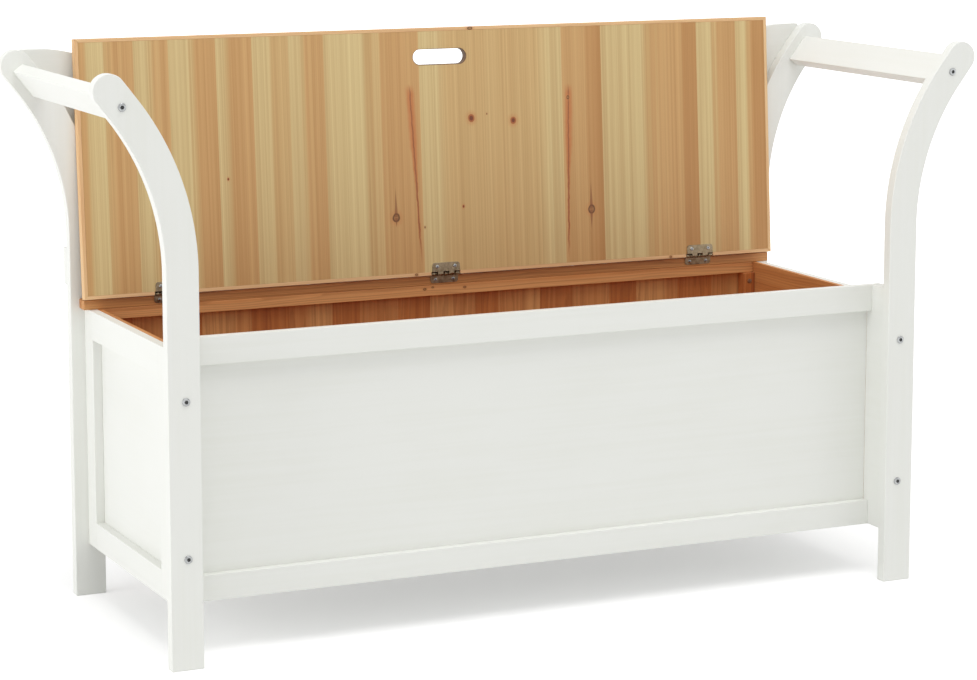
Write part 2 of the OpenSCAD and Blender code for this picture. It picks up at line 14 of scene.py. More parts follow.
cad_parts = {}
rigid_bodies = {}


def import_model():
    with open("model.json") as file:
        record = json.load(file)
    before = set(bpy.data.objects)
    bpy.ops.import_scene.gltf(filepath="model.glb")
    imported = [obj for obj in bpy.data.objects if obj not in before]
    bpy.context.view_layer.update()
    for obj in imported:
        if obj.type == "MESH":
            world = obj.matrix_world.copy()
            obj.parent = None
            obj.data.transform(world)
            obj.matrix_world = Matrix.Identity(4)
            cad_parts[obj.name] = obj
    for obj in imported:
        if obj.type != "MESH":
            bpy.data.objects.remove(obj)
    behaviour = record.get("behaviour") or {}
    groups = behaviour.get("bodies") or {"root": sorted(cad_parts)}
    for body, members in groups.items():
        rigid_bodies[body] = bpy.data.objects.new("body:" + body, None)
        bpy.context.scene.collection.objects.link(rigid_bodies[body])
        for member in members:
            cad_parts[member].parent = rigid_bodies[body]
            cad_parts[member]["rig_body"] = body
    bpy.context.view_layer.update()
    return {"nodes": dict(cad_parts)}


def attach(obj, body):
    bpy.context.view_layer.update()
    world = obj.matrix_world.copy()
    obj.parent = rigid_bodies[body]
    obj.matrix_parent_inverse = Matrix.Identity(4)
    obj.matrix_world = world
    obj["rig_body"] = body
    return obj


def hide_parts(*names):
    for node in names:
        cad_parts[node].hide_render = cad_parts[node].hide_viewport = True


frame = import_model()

LOG = logging.getLogger("bench")
MM = 0.001
SIDES = ("left", "right")
LID_LEAN = 4.0174
BENT_DEG = (1.0, 20.0)
SHARP_DEG = 35.0
MERGE_MM = 0.002
FLAT_DEG = 0.4
SEEDS = 41


class Grain(Enum):
    """The direction in which a board's fibres run: its axis, then the two axes across it."""

    ALONG_X = (0, 1, 2)
    ALONG_Y = (1, 0, 2)
    ALONG_Z = (2, 0, 1)


class Tone(Enum):
    """How far a board's colour lies from pale sapwood, 0, to red heartwood, 1."""

    STRAW = 0.0
    HONEY = 0.42
    ORANGE = 0.72
    RUSSET = 1.0


def linear(colour: str) -> tuple[float, float, float, float]:
    """Turns an sRGB hex value into the linear colour that a shader socket takes.

    Args:
        colour: Six hex digits after a hash sign.

    Returns:
        Red, green, blue and an alpha of 1.
    """
    parts = [int(colour[i:i + 2], 16) / 255 for i in (1, 3, 5)]
    return (*[p / 12.92 if p <= 0.04045 else ((p + 0.055) / 1.055) ** 2.4 for p in parts], 1.0)


SMOOTH = {"interpolation_type": "SMOOTHSTEP"}
COLOURS = {"data_type": "RGBA"}


def add_node(tree: bpy.types.NodeTree, kind: str, settings: dict | str | None = None,
             links: dict | list = ()) -> bpy.types.Node:
    """Adds a shader node, sets its options, and sets or links its inputs.

    Args:
        tree: The node tree that gets the node.
        kind: The node's type, without the word ShaderNode.
        settings: Options by name, with a ramp's colours as "stops", or the operation alone.
        links: Inputs in order, or by name or number: a node, whose first output is linked, an output,
            a value or a hex colour.

    Returns:
        The new node.
    """
    node = tree.nodes.new("ShaderNode" + kind)
    options = {"operation": settings} if isinstance(settings, str) else dict(settings or {})
    for number, (place, colour) in enumerate(options.pop("stops", ())):
        elements = node.color_ramp.elements
        element = elements[number] if number < 2 else elements.new(place)
        element.position = place
        element.color = linear(colour)
    for key, value in options.items():
        setattr(node, key, value)
    for key, value in links.items() if isinstance(links, dict) else enumerate(links):
        if isinstance(value, bpy.types.Node):
            value = value.outputs[0]
        if isinstance(value, bpy.types.NodeSocket):
            tree.links.new(value, node.inputs[key])
        else:
            node.inputs[key].default_value = linear(value) if isinstance(value, str) else value
    return node


class Finish:
    """What each finish shares: a node tree that starts empty, and figure drawn at a real size."""

    name: str

    def start(self) -> tuple[bpy.types.Material, Callable[..., bpy.types.Node]]:
        """Makes an empty node material.

        Returns:
            The material, and add_node bound to its tree.
        """
        material = bpy.data.materials.new(self.name)
        material.use_nodes = True
        material.node_tree.nodes.clear()
        return material, partial(add_node, material.node_tree)

    def figure(self, add: Callable[..., bpy.types.Node], place: bpy.types.NodeSocket, across_mm: float,
               along_mm: float, detail: float = 2.0) -> bpy.types.Node:
        """Draws uneven streaks of a real size, drawn out along Z.

        Args:
            add: The tree's add_node.
            place: Coordinates in metres, with Z along the streaks.
            across_mm: Their width.
            along_mm: Their length.
            detail: Octaves of finer streaks in them.

        Returns:
            A node that gives a value about 0.5.
        """
        scale = (1 / (across_mm * MM), 1 / (across_mm * MM), 1 / (along_mm * MM))
        mapped = add("Mapping", None, {"Vector": place, "Scale": scale})
        return add("TexNoise", None, {"Vector": mapped, "Scale": 1.0, "Detail": detail, "Roughness": 0.55})

    def close(self, add: Callable[..., bpy.types.Node], sockets: dict) -> None:
        """Adds the surface shader and the output.

        Args:
            add: The tree's add_node.
            sockets: Inputs of the Principled shader by name.
        """
        add("OutputMaterial", None, {"Surface": add("BsdfPrincipled", None, sockets)})


@dataclass(frozen=True)
class SatinWhitePaint(Finish):
    """Water-based satin enamel, sprayed on sanded fir."""

    # The eye gets an almost even warm white with a soft sheen. The wood's colour is hidden, and only
    # faint relief of the fibres comes through.
    name: str = "satin_white_enamel"
    colour: str = "#EAEBE6"
    thin: str = "#E8E9E3"
    roughness: float = 0.42
    fibre_mm: tuple[float, float] = (1.4, 60)
    stroke_mm: tuple[float, float] = (7, 260)
    cloud_mm: tuple[float, float] = (70, 160)

    def material(self) -> bpy.types.Material:
        """Makes the paint.

        Returns:
            The material.
        """
        material, add = self.start()
        place = add("Attribute", {"attribute_name": "grain_place"}).outputs["Vector"]
        fibres = self.figure(add, place, *self.fibre_mm, 3)
        strokes = self.figure(add, place, *self.stroke_mm)
        cloud = self.figure(add, place, *self.cloud_mm)
        tone = add("Math", "MULTIPLY_ADD", [strokes, 0.5, add("Math", "MULTIPLY", [cloud, 0.5])])
        colour = add("ValToRGB", {"stops": [(0.36, self.thin), (0.56, self.colour)]}, [tone])
        gloss = add("MapRange", SMOOTH, [strokes, 0.25, 0.75, self.roughness - 0.05, self.roughness + 0.07])
        height = add("Math", "MULTIPLY_ADD", [fibres, 0.6, strokes])
        bump = add("Bump", None, {"Strength": 0.045, "Distance": 0.3 * MM, "Height": height})
        self.close(add, {"Base Color": colour, "Roughness": gloss, "Normal": bump, "IOR": 1.5})
        return material


@dataclass(frozen=True)
class Knot:
    """A knot, placed by its distance along the bench and its height, with the lid open."""

    x_mm: float
    z_mm: float
    radius_mm: float
    ringed: bool = True
    tall: float = 1.4
    above_mm: float = 0.0
    below_mm: float = 0.0


@dataclass(frozen=True)
class Crack:
    """A reddish resin crack along the fibres, wide at the top and thin below."""

    x_mm: float
    low_mm: float
    high_mm: float
    width_mm: float
    drift: float


@dataclass(frozen=True)
class Softwood(Finish):
    """Planed fir, clear varnished or bare."""

    # The eye gets growth rings as a saw cuts them, fine fibres, and boards that run from pale sapwood
    # to redder heartwood. Single fibres are too fine to show, so bundles of them are drawn.
    name: str
    straw: str
    honey: str
    orange: str
    russet: str
    late: str
    ring_mm: float = 4.2
    ring_depth: float = 0.3
    streak_depth: float = 0.35
    drift: float = 0.5
    roughness: float = 0.55
    fibre_mm: tuple[float, float] = (1.3, 130)
    band_mm: tuple[float, float] = (7, 900)
    cloud_mm: tuple[float, float] = (45, 260)
    bend_mm: tuple[float, float] = (55, 330)
    years_mm: tuple[float, float] = (15, 1500)
    knots: tuple[Knot, ...] = ()
    cracks: tuple[Crack, ...] = ()

    def material(self) -> bpy.types.Material:
        """Makes the wood.

        Returns:
            The material.
        """
        material, add = self.start()
        place = add("Attribute", {"attribute_name": "grain_place"}).outputs["Vector"]
        rings = self.rings(add, place)
        fibres = self.figure(add, place, *self.fibre_mm, 3)
        bands = self.figure(add, place, *self.band_mm, 3)
        cloud = self.figure(add, place, *self.cloud_mm)
        tone = self.heartwood(add, bands, cloud)
        stops = [(Tone.STRAW.value, self.straw), (Tone.HONEY.value, self.honey),
                 (Tone.ORANGE.value, self.orange), (Tone.RUSSET.value, self.russet)]
        colour = add("ValToRGB", {"stops": stops}, [tone])
        streaks = add("Math", "ADD", [fibres, bands])
        fine = add("MapRange", SMOOTH, [streaks, 0.6, 1.4, 0.0, self.streak_depth])
        dark = add("Math", "MULTIPLY_ADD", [rings, self.ring_depth, fine])
        dark = add("Math", "MULTIPLY", [dark, 0.75])
        colour = add("Mix", COLOURS, {0: dark, 6: colour, 7: self.late}).outputs[2]
        if self.knots or self.cracks:
            spot = add("TexCoord").outputs["Object"]
            parts = add("SeparateXYZ", None, [spot]).outputs
            frayed = add("TexNoise", None, {"Vector": spot, "Scale": 90.0, "Detail": 3.0})
            frayed = add("Math", "SUBTRACT", [frayed, 0.5])
            for crack in self.cracks:
                colour = self.crack(add, colour, parts, frayed, crack)
            for knot in self.knots:
                colour = self.knot(add, colour, parts, frayed, knot)
        height = add("Math", "MULTIPLY_ADD", [rings, -0.4, fibres])
        bump = add("Bump", None, {"Strength": 0.22, "Distance": 0.25 * MM, "Height": height})
        gloss = add("MapRange", SMOOTH, [fibres, 0.3, 0.7, self.roughness - 0.07, self.roughness + 0.08])
        self.close(add, {"Base Color": colour, "Roughness": gloss, "Normal": bump})
        return material

    def rings(self, add: Callable[..., bpy.types.Node], place: bpy.types.NodeSocket) -> bpy.types.Node:
        """Draws the late wood of the growth rings round the pith, which is the Z axis.

        Args:
            add: The tree's add_node.
            place: The board's place in its tree.

        Returns:
            A node that gives 0 in early wood and up to 1 in late wood.
        """
        flat = add("VectorMath", "MULTIPLY", [place, (1.0, 1.0, 0.0)])
        radius = add("VectorMath", "LENGTH", [flat]).outputs["Value"]
        bend = self.figure(add, place, *self.bend_mm)
        bent = add("Math", "MULTIPLY_ADD", [bend, 24 * MM, radius])
        years = self.figure(add, place, *self.years_mm)
        uneven = add("Math", "MULTIPLY_ADD", [years, 4 * self.ring_mm * MM, bent])
        count = add("Math", "DIVIDE", [uneven, self.ring_mm * MM])
        share = add("Math", "FRACT", [count])
        rise = add("MapRange", SMOOTH, [share, 0.25, 0.9, 0.0, 1.0])
        drop = add("MapRange", SMOOTH, [share, 0.92, 1.0, 1.0, 0.0])
        return add("Math", "MULTIPLY", [rise, drop])

    def heartwood(self, add: Callable[..., bpy.types.Node], bands: bpy.types.Node,
                  cloud: bpy.types.Node) -> bpy.types.Node:
        """Works out how red the wood is: each board runs from one tone to another across its width.

        Args:
            add: The tree's add_node.
            bands: Long fine streaks that fray the border of the heartwood.
            cloud: Slow changes within a board.

        Returns:
            A node that gives the tone from 0 to 1.
        """
        tones = add("Attribute", {"attribute_name": "board_tones"}).outputs["Vector"]
        first, second, split = add("SeparateXYZ", None, [tones]).outputs
        share = add("Attribute", {"attribute_name": "board_share"}).outputs["Fac"]
        away = add("Math", "SUBTRACT", [share, split])
        away = add("Math", "MULTIPLY_ADD", [add("Math", "SUBTRACT", [bands, 0.5]), 0.35, away])
        change = add("MapRange", SMOOTH, [away, -0.13, 0.13, 0.0, 1.0])
        tone = add("Math", "MULTIPLY_ADD", [add("Math", "SUBTRACT", [second, first]), change, first])
        drift = add("Math", "SUBTRACT", [add("Math", "ADD", [cloud, bands]), 1.0])
        return add("Math", {"operation": "MULTIPLY_ADD", "use_clamp": True}, [drift, self.drift, tone])

    def crack(self, add: Callable[..., bpy.types.Node], colour: bpy.types.NodeSocket,
              parts: bpy.types.NodeOutputs, frayed: bpy.types.Node, crack: Crack) -> bpy.types.NodeSocket:
        """Draws a resin crack over the wood.

        Args:
            add: The tree's add_node.
            colour: The wood's colour.
            parts: X, Y and Z.
            frayed: Fine unevenness about 0.
            crack: The crack.

        Returns:
            The colour with the crack.
        """
        low, high, width = crack.low_mm * MM, crack.high_mm * MM, crack.width_mm * MM
        lean = add("Math", "MULTIPLY_ADD", [parts[2], -crack.drift, high * crack.drift + crack.x_mm * MM])
        middle = add("Math", "MULTIPLY_ADD", [frayed, 3 * MM, lean])
        away = add("Math", "ABSOLUTE", [add("Math", "SUBTRACT", [parts[0], middle])])
        wide = add("MapRange", SMOOTH, [parts[2], high - 150 * MM, high - 50 * MM, 0.3 * width, width])
        inside = add("Math", "DIVIDE", [away, wide])
        top = add("MapRange", SMOOTH, [parts[2], high + 12 * MM, high - 6 * MM, 0.0, 1.0])
        end = add("MapRange", SMOOTH, [parts[2], low - 60 * MM, low, 0.0, 1.0])
        reach = add("Math", "MULTIPLY", [top, end])
        red = add("MapRange", SMOOTH, [inside, 0.95, 0.2, 0.0, 0.75])
        red = add("Math", "MULTIPLY", [red, reach])
        line = add("MapRange", SMOOTH, [away, 1.5 * MM, 0.3 * MM, 0.0, 0.65])
        line = add("Math", "MULTIPLY", [line, reach])
        colour = add("Mix", COLOURS, {0: red, 6: colour, 7: "#BE6E3C"}).outputs[2]
        return add("Mix", COLOURS, {0: line, 6: colour, 7: "#7C4529"}).outputs[2]

    def knot(self, add: Callable[..., bpy.types.Node], colour: bpy.types.NodeSocket,
             parts: bpy.types.NodeOutputs, frayed: bpy.types.Node, knot: Knot) -> bpy.types.NodeSocket:
        """Draws a knot over the wood, with the dark flames that run up and down from it.

        Args:
            add: The tree's add_node.
            colour: The wood's colour.
            parts: X, Y and Z.
            frayed: Fine unevenness about 0.
            knot: The knot.

        Returns:
            The colour with the knot.
        """
        size = knot.radius_mm * MM
        sideways = add("Math", "SUBTRACT", [parts[0], knot.x_mm * MM])
        upwards = add("Math", "SUBTRACT", [parts[2], knot.z_mm * MM])
        tall = add("Math", "DIVIDE", [upwards, knot.tall])
        square = add("Math", "MULTIPLY_ADD", [sideways, sideways, add("Math", "MULTIPLY", [tall, tall])])
        away = add("Math", "MULTIPLY_ADD", [frayed, 0.5 * size, add("Math", "SQRT", [square])])
        rim, heart = self.knot_shade(knot)
        layers = ((2.4, 0.9, 0.45, "#C4854E"), (1.12, 0.82, 0.9, rim), (0.7, 0.42, 0.8, heart))
        for reach, solid, share, shade in layers:
            part = add("MapRange", SMOOTH, [away, size * reach, size * solid, 0.0, share])
            colour = add("Mix", COLOURS, {0: part, 6: colour, 7: shade}).outputs[2]
        for length in (knot.above_mm, -knot.below_mm):
            if length:
                flame = add("MapRange", None, [upwards, 0.0, length * MM, 1.0, 0.0])
                begun = add("MapRange", None, [upwards, 0.0, math.copysign(MM, length), 0.0, 1.0])
                wide = add("Math", "MULTIPLY", [flame, size * 0.5])
                side = add("Math", "SUBTRACT", [wide, add("Math", "ABSOLUTE", [sideways])])
                share = add("MapRange", SMOOTH, [side, -0.4 * MM, 0.9 * MM, 0.0, 0.7])
                share = add("Math", "MULTIPLY", [share, begun])
                colour = add("Mix", COLOURS, {0: share, 6: colour, 7: "#84502E"}).outputs[2]
        return colour

    def knot_shade(self, knot: Knot) -> tuple[str, str]:
        """Gives a knot's colours: dark with a pale heart when ringed, else red with a dark heart."""
        return ("#5A371E", "#B5824E") if knot.ringed else ("#A3562C", "#5F2A16")


@dataclass(frozen=True)
class Steel(Finish):
    """Pressed steel with a thin plating."""

    # The eye gets a satin metal with faint rolling marks and duller patches where the plating is thin.
    name: str
    colour: str
    dark: str
    roughness: float = 0.35

    def material(self) -> bpy.types.Material:
        """Makes the metal.

        Returns:
            The material.
        """
        material, add = self.start()
        place = add("TexCoord").outputs["Object"]
        marks = self.figure(add, place, 0.4, 6, 3)
        patches = self.figure(add, place, 5, 5, 3)
        tone = add("Math", "MULTIPLY_ADD", [marks, 0.4, add("Math", "MULTIPLY", [patches, 0.6])])
        colour = add("ValToRGB", {"stops": [(0.35, self.dark), (0.62, self.colour)]}, [tone])
        gloss = add("MapRange", SMOOTH, [patches, 0.3, 0.7, self.roughness - 0.08, self.roughness + 0.12])
        bump = add("Bump", None, {"Strength": 0.25, "Distance": 0.04 * MM, "Height": marks})
        self.close(add, {"Base Color": colour, "Metallic": 1.0, "Roughness": gloss, "Normal": bump})
        return material


LID_KNOTS = (
    Knot(-73, 494, 5.6, tall=1.15, above_mm=44, below_mm=14),
    Knot(231, 489, 5.6, tall=1.15, above_mm=44, below_mm=30),
    Knot(46, 627, 4.8, False, 1.15), Knot(111, 621, 4.6, False, 1.15), Knot(198, 650, 2.2),
    Knot(-30, 478, 1.2), Knot(70, 632, 1.0), Knot(30, 504, 1.6, False), Knot(-318, 560, 1.4, False),
)
LID_CRACKS = (Crack(-46.7, 480, 668, 9.0, 0.045), Crack(199, 470, 660, 9.0, -0.025))
LID_WOOD = Softwood(
    "varnished_fir_lid", straw="#DCC790", honey="#D5B57D", orange="#D0A56D", russet="#BF8E57",
    late="#A3743F", ring_mm=4.8, ring_depth=0.1, streak_depth=0.55, drift=0.3, fibre_mm=(2.0, 1400),
    band_mm=(8, 2400), cloud_mm=(50, 700), bend_mm=(90, 1800), knots=LID_KNOTS, cracks=LID_CRACKS)
INSIDE_WOOD = Softwood(
    "bare_fir", straw="#DCA366", honey="#D08F54", orange="#C2773C", russet="#A45C2D", late="#80421A",
    ring_depth=0.3, streak_depth=0.3)
# Painted light: the ledge takes a brighter copy of the inside wood, as if it were lit more than the wood
# around it.
LIT_LEDGE_WOOD = replace(
    INSIDE_WOOD, name="bare_fir_ledge_painted_light", straw="#E8AC6E", honey="#DE9A5C", orange="#D08848",
    knots=(Knot(-29.5, 390, 2.6, tall=0.7), Knot(-17.2, 392, 2.2, tall=0.7),
           Knot(32.2, 389, 2.4, tall=0.7)))
BATTEN_WOOD = Softwood(
    "red_fir_batten", straw="#E6AE70", honey="#D6995C", orange="#C6874C", russet="#AA6C3E", late="#74421F",
    ring_depth=0.35)
LIPPING_WOOD = Softwood(
    "pale_fir_lipping", straw="#F0D3A4", honey="#E8C290", orange="#DFAE7A", russet="#CF9560",
    late="#B97C4C", ring_depth=0.2, streak_depth=0.25,
    knots=(Knot(47.8, 752.5, 4.2, tall=0.6), Knot(-45, 412.5, 2.4, tall=0.8),
           Knot(358, 412.5, 2.4, tall=0.8)))
# Painted shade: the hand slot's walls and rounded rim take this dark brown wood, as if they lay in shadow.
SLOT_WALL_SHADE_WOOD = Softwood(
    "slot_wall_painted_shade", straw="#7E6244", honey="#75573A", orange="#6B4C31", russet="#5E4029",
    late="#3F2818", ring_depth=0.3)
PAINT = SatinWhitePaint()
HINGE_STEEL = Steel("dull_bronzed_steel", colour="#A89A82", dark="#766850", roughness=0.38)
ZINC = Steel("zinc_plated_steel", colour="#B9BBBB", dark="#8F9192", roughness=0.3)
# Painted shade, with some grime: this dark steel goes in the screw recesses and round the lower flank of
# each head, where shade falls.
RECESS_GRIME_AND_SHADE = Steel("steel_recess_grime_and_painted_shade", colour="#5A5B5B", dark="#333434", roughness=0.5)
FINISHES: dict[str, bpy.types.Material] = {}


def material_of(finish: Finish) -> bpy.types.Material:
    """Finds a finish's material, or makes it when a piece first needs it.

    Args:
        finish: The finish.

    Returns:
        Its material.
    """
    if finish.name not in FINISHES:
        FINISHES[finish.name] = finish.material()
    return FINISHES[finish.name]


def merged_shape(node: str) -> bmesh.types.BMesh:
    """Copies a CAD node's mesh, with its loose triangles merged into whole faces.

    Args:
        node: The CAD node.

    Returns:
        The copy, which the caller frees.
    """
    shape = bmesh.new()
    shape.from_mesh(frame["nodes"][node].data)
    bmesh.ops.remove_doubles(shape, verts=shape.verts, dist=MERGE_MM * MM)
    bmesh.ops.dissolve_limit(shape, angle_limit=math.radians(FLAT_DEG), verts=shape.verts,
                             edges=shape.edges)
    for face in shape.faces:
        face.smooth = False
    return shape


def ease(shape: bmesh.types.BMesh, width_mm: float, shortest_mm: float = 3.0,
         wanted: Callable[[Vector], bool] | None = None) -> None:
    """Rounds the arrises of a board, as sandpaper does before the paint goes on.

    Args:
        shape: The board.
        width_mm: The width of the rounding.
        shortest_mm: Edges shorter than this, such as those of a bore, stay sharp.
        wanted: Says by an edge's middle whether it is rounded; without it, all are.
    """
    arrises = [e for e in shape.edges
               if len(e.link_faces) == 2 and e.calc_face_angle(0.0) > math.radians(SHARP_DEG)
               and e.calc_length() > shortest_mm * MM
               and (wanted is None or wanted((e.verts[0].co + e.verts[1].co) / 2))]
    made = bmesh.ops.bevel(shape, geom=arrises, offset=width_mm * MM, offset_type="OFFSET", affect="EDGES",
                           segments=3, profile=0.5, material=-1, clamp_overlap=True)
    for face in made["faces"]:
        face.smooth = True
    low, high = (math.radians(angle) for angle in BENT_DEG)
    bent = [e for e in shape.edges if wanted is None and len(e.link_faces) == 2
            and low < e.calc_face_angle(0.0) < high]
    for face in {f for e in bent for f in e.link_faces}:
        face.smooth = True


def smooth_by_area(piece: bpy.types.Object) -> None:
    """Keeps flat faces flat where they meet a rounded arris.

    Args:
        piece: The piece.
    """
    modifier = piece.modifiers.new("flat_faces_stay_flat", "WEIGHTED_NORMAL")
    modifier.keep_sharp = True
    modifier.weight = 100


def mark_grain(shape: bmesh.types.BMesh, grain: Grain, seed: int, tones: tuple[float, float, float],
               pith_mm: tuple[float, float], lean_deg: float = 0.0) -> None:
    """Stores where each point of a board lies in its tree, and the board's tones.

    Args:
        shape: The board.
        grain: The direction of its fibres.
        seed: Shifts the figure, so that no two boards match.
        tones: The tones of its two edges and the share of its width at which they change.
        pith_mm: How far the pith lies from the board's middle, on the two axes across the fibres.
        lean_deg: How far the board leans back with the lid.
    """
    layers = shape.verts.layers
    place = layers.float_vector.get("grain_place") or layers.float_vector.new("grain_place")
    kind = layers.float_vector.get("board_tones") or layers.float_vector.new("board_tones")
    share = layers.float.get("board_share") or layers.float.new("board_share")
    verts = list(shape.verts)
    along, first, second = grain.value
    turn = Matrix.Rotation(math.radians(lean_deg), 3, "X")
    upright = [turn @ v.co for v in verts]
    low = [min(p[i] for p in upright) for i in range(3)]
    high = [max(p[i] for p in upright) for i in range(3)]
    wide = first if high[first] - low[first] >= high[second] - low[second] else second
    for vert, spot in zip(verts, upright):
        across = [spot[axis] - (low[axis] + high[axis]) / 2 + away * MM
                  for axis, away in ((first, pith_mm[0]), (second, pith_mm[1]))]
        vert[place] = (across[0], across[1], spot[along] + 0.417 * seed)
        vert[kind] = tones
        vert[share] = (spot[wide] - low[wide]) / max(high[wide] - low[wide], 1e-6)


def seed_of(name: str) -> int:
    """Makes a steady number from a piece's name.

    Args:
        name: The name.

    Returns:
        A number from 0 up to SEEDS.
    """
    return sum(i * ord(c) for i, c in enumerate(name, 3)) % SEEDS


def finish_piece(shape: bmesh.types.BMesh, node: str, finishes: list[Finish],
                 slot: str) -> bpy.types.Object:
    """Turns a shape into the piece that replaces a CAD node.

    Args:
        shape: The shape, which is freed.
        node: The CAD node.
        finishes: The piece's finishes, by the material numbers of its faces.
        slot: The record's material slot; not used.

    Returns:
        The piece.
    """
    mesh = bpy.data.meshes.new(node + "_dressed")
    shape.to_mesh(mesh)
    shape.free()
    if "custom_normal" in mesh.attributes:
        mesh.attributes.remove(mesh.attributes["custom_normal"])
    for finish in finishes:
        mesh.materials.append(material_of(finish))
    piece = bpy.data.objects.new(node + "_dressed", mesh)
    bpy.context.scene.collection.objects.link(piece)
    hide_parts(node)
    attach(piece, frame["nodes"][node]["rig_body"])
    LOG.info("%s: %d faces, %s", piece.name, len(mesh.polygons), mesh.materials[0].name)
    return piece


@dataclass
class Board:
    """One solid board: an eased copy of its CAD node."""

    node: str
    finish: Finish
    slot: str
    grain: Grain
    arris_mm: float = 1.0
    tones: tuple[Tone, Tone] = (Tone.HONEY, Tone.ORANGE)
    bare: Callable[[Vector, Vector], bool] | None = None
    cut_y_mm: float | None = None
    lean_deg: float = 0.0

    def build(self) -> bpy.types.Object:
        """Builds the board.

        Returns:
            The piece.
        """
        shape = merged_shape(self.node)
        if self.cut_y_mm is not None:
            bmesh.ops.bisect_plane(shape, geom=[*shape.verts, *shape.edges, *shape.faces],
                                   plane_co=(0, self.cut_y_mm * MM, 0), plane_no=(0, 1, 0))
        ease(shape, self.arris_mm)
        seed = seed_of(self.node)
        split = 0.3 + 0.05 * (seed % 9)
        pith = (-38.0 + 7 * (seed % 12), 46.0 + 5 * (seed % 7))
        tones = (self.tones[0].value, self.tones[1].value, split)
        mark_grain(shape, self.grain, seed, tones, pith, self.lean_deg)
        finishes = [self.finish]
        if self.bare is not None:
            finishes = [PAINT, INSIDE_WOOD]
            for face in shape.faces:
                face.material_index = int(self.bare(face.calc_center_median(), face.normal))
        piece = finish_piece(shape, self.node, finishes, self.slot)
        smooth_by_area(piece)
        return piece


@dataclass(frozen=True)
class Strip:
    """One board of a glued-up panel: its width and the tones of its two edges."""

    width_mm: float
    left: Tone
    right: Tone
    split: float = 0.5


@dataclass
class GluedPanel:
    """A panel glued up from upright boards, each with its own tone and figure."""

    node: str
    finish: Softwood
    slot: str
    strips: tuple[Strip, ...]
    grain: Grain = Grain.ALONG_Z
    lean_deg: float = 0.0
    rim: Callable[[Vector], bool] | None = None
    rim_mm: float = 1.5
    mark: Callable[[Vector, Vector], int] | None = None
    extra: tuple[Finish, ...] = ()

    def build(self) -> bpy.types.Object:
        """Cuts the panel into its boards and marks each.

        Returns:
            The piece.
        """
        source = merged_shape(self.node)
        if self.rim is not None:
            ease(source, self.rim_mm, 0.5, self.rim)
        if self.mark is not None:
            for face in source.faces:
                face.material_index = self.mark(face.calc_center_median(), face.normal)
        low = min(v.co.x for v in source.verts)
        high = max(v.co.x for v in source.verts)
        scale = (high - low) / sum(s.width_mm for s in self.strips)
        whole = bmesh.new()
        start = low
        for number, strip in enumerate(self.strips):
            end = start + strip.width_mm * scale
            board = source.copy()
            for place, keep in ((start, -1), (end, 1)):
                if low + 1e-6 < place < high - 1e-6:
                    cut = bmesh.ops.bisect_plane(
                        board, geom=[*board.verts, *board.edges, *board.faces], plane_co=(place, 0, 0),
                        plane_no=(keep, 0, 0), clear_outer=True)
                    rim = [e for e in cut["geom_cut"] if isinstance(e, bmesh.types.BMEdge)]
                    bmesh.ops.holes_fill(board, edges=rim, sides=0)
            seed = (number * 7 + seed_of(self.node)) % SEEDS
            pith = (-25.0 + 9 * (seed % 6), 42.0 + 6 * (seed % 5))
            tones = (strip.left.value, strip.right.value, strip.split)
            mark_grain(board, self.grain, seed, tones, pith, self.lean_deg)
            mesh = bpy.data.meshes.new("strip")
            board.to_mesh(mesh)
            board.free()
            whole.from_mesh(mesh)
            bpy.data.meshes.remove(mesh)
            start = end
        source.free()
        return finish_piece(whole, self.node, [self.finish, *self.extra], self.slot)


def boards(nodes: tuple[str, ...], finish: Finish, slot: str, grain: Grain,
           arris_mm: float = 1.0, tones: tuple[Tone, Tone] = (Tone.HONEY, Tone.ORANGE),
           lean_deg: float = 0.0) -> None:
    """Builds boards that share a finish.

    Args:
        nodes: Their CAD nodes.
        finish: The finish.
        slot: The record's material slot.
        grain: The direction of their fibres.
        arris_mm: The width of their eased arrises.
        tones: The tones of their two edges.
        lean_deg: How far they lean back with the lid.
    """
    for node in nodes:
        Board(node, finish, slot, grain, arris_mm, tones, lean_deg=lean_deg).build()


def both(*stems: str) -> tuple[str, ...]:
    """Names the left and right node of each stem.

    Args:
        stems: The nodes' names without their side.

    Returns:
        The full names.
    """
    return tuple(f"{stem}_{side}" for stem in stems for side in SIDES)


@dataclass
class ArmFrames:
    """The four scrolled posts and the two arm boards."""

    arris_mm: float = 1.0

    def build(self) -> None:
        """Builds the posts and arms."""
        boards(both("post_front", "post_back"), PAINT, "white_paint", Grain.ALONG_Z, self.arris_mm)
        boards(both("arm"), PAINT, "white_paint", Grain.ALONG_Y, self.arris_mm)


@dataclass
class SeatBack:
    """The crest rail, the lower back rail and the slats between them."""

    def build(self) -> None:
        """Builds the rails and slats."""
        slats = tuple(sorted(n for n in frame["nodes"] if n.startswith("back_slat_")))
        boards(("crest_rail", "lower_back_rail"), PAINT, "white_paint", Grain.ALONG_X)
        boards(slats, PAINT, "white_paint", Grain.ALONG_Z, 0.8)


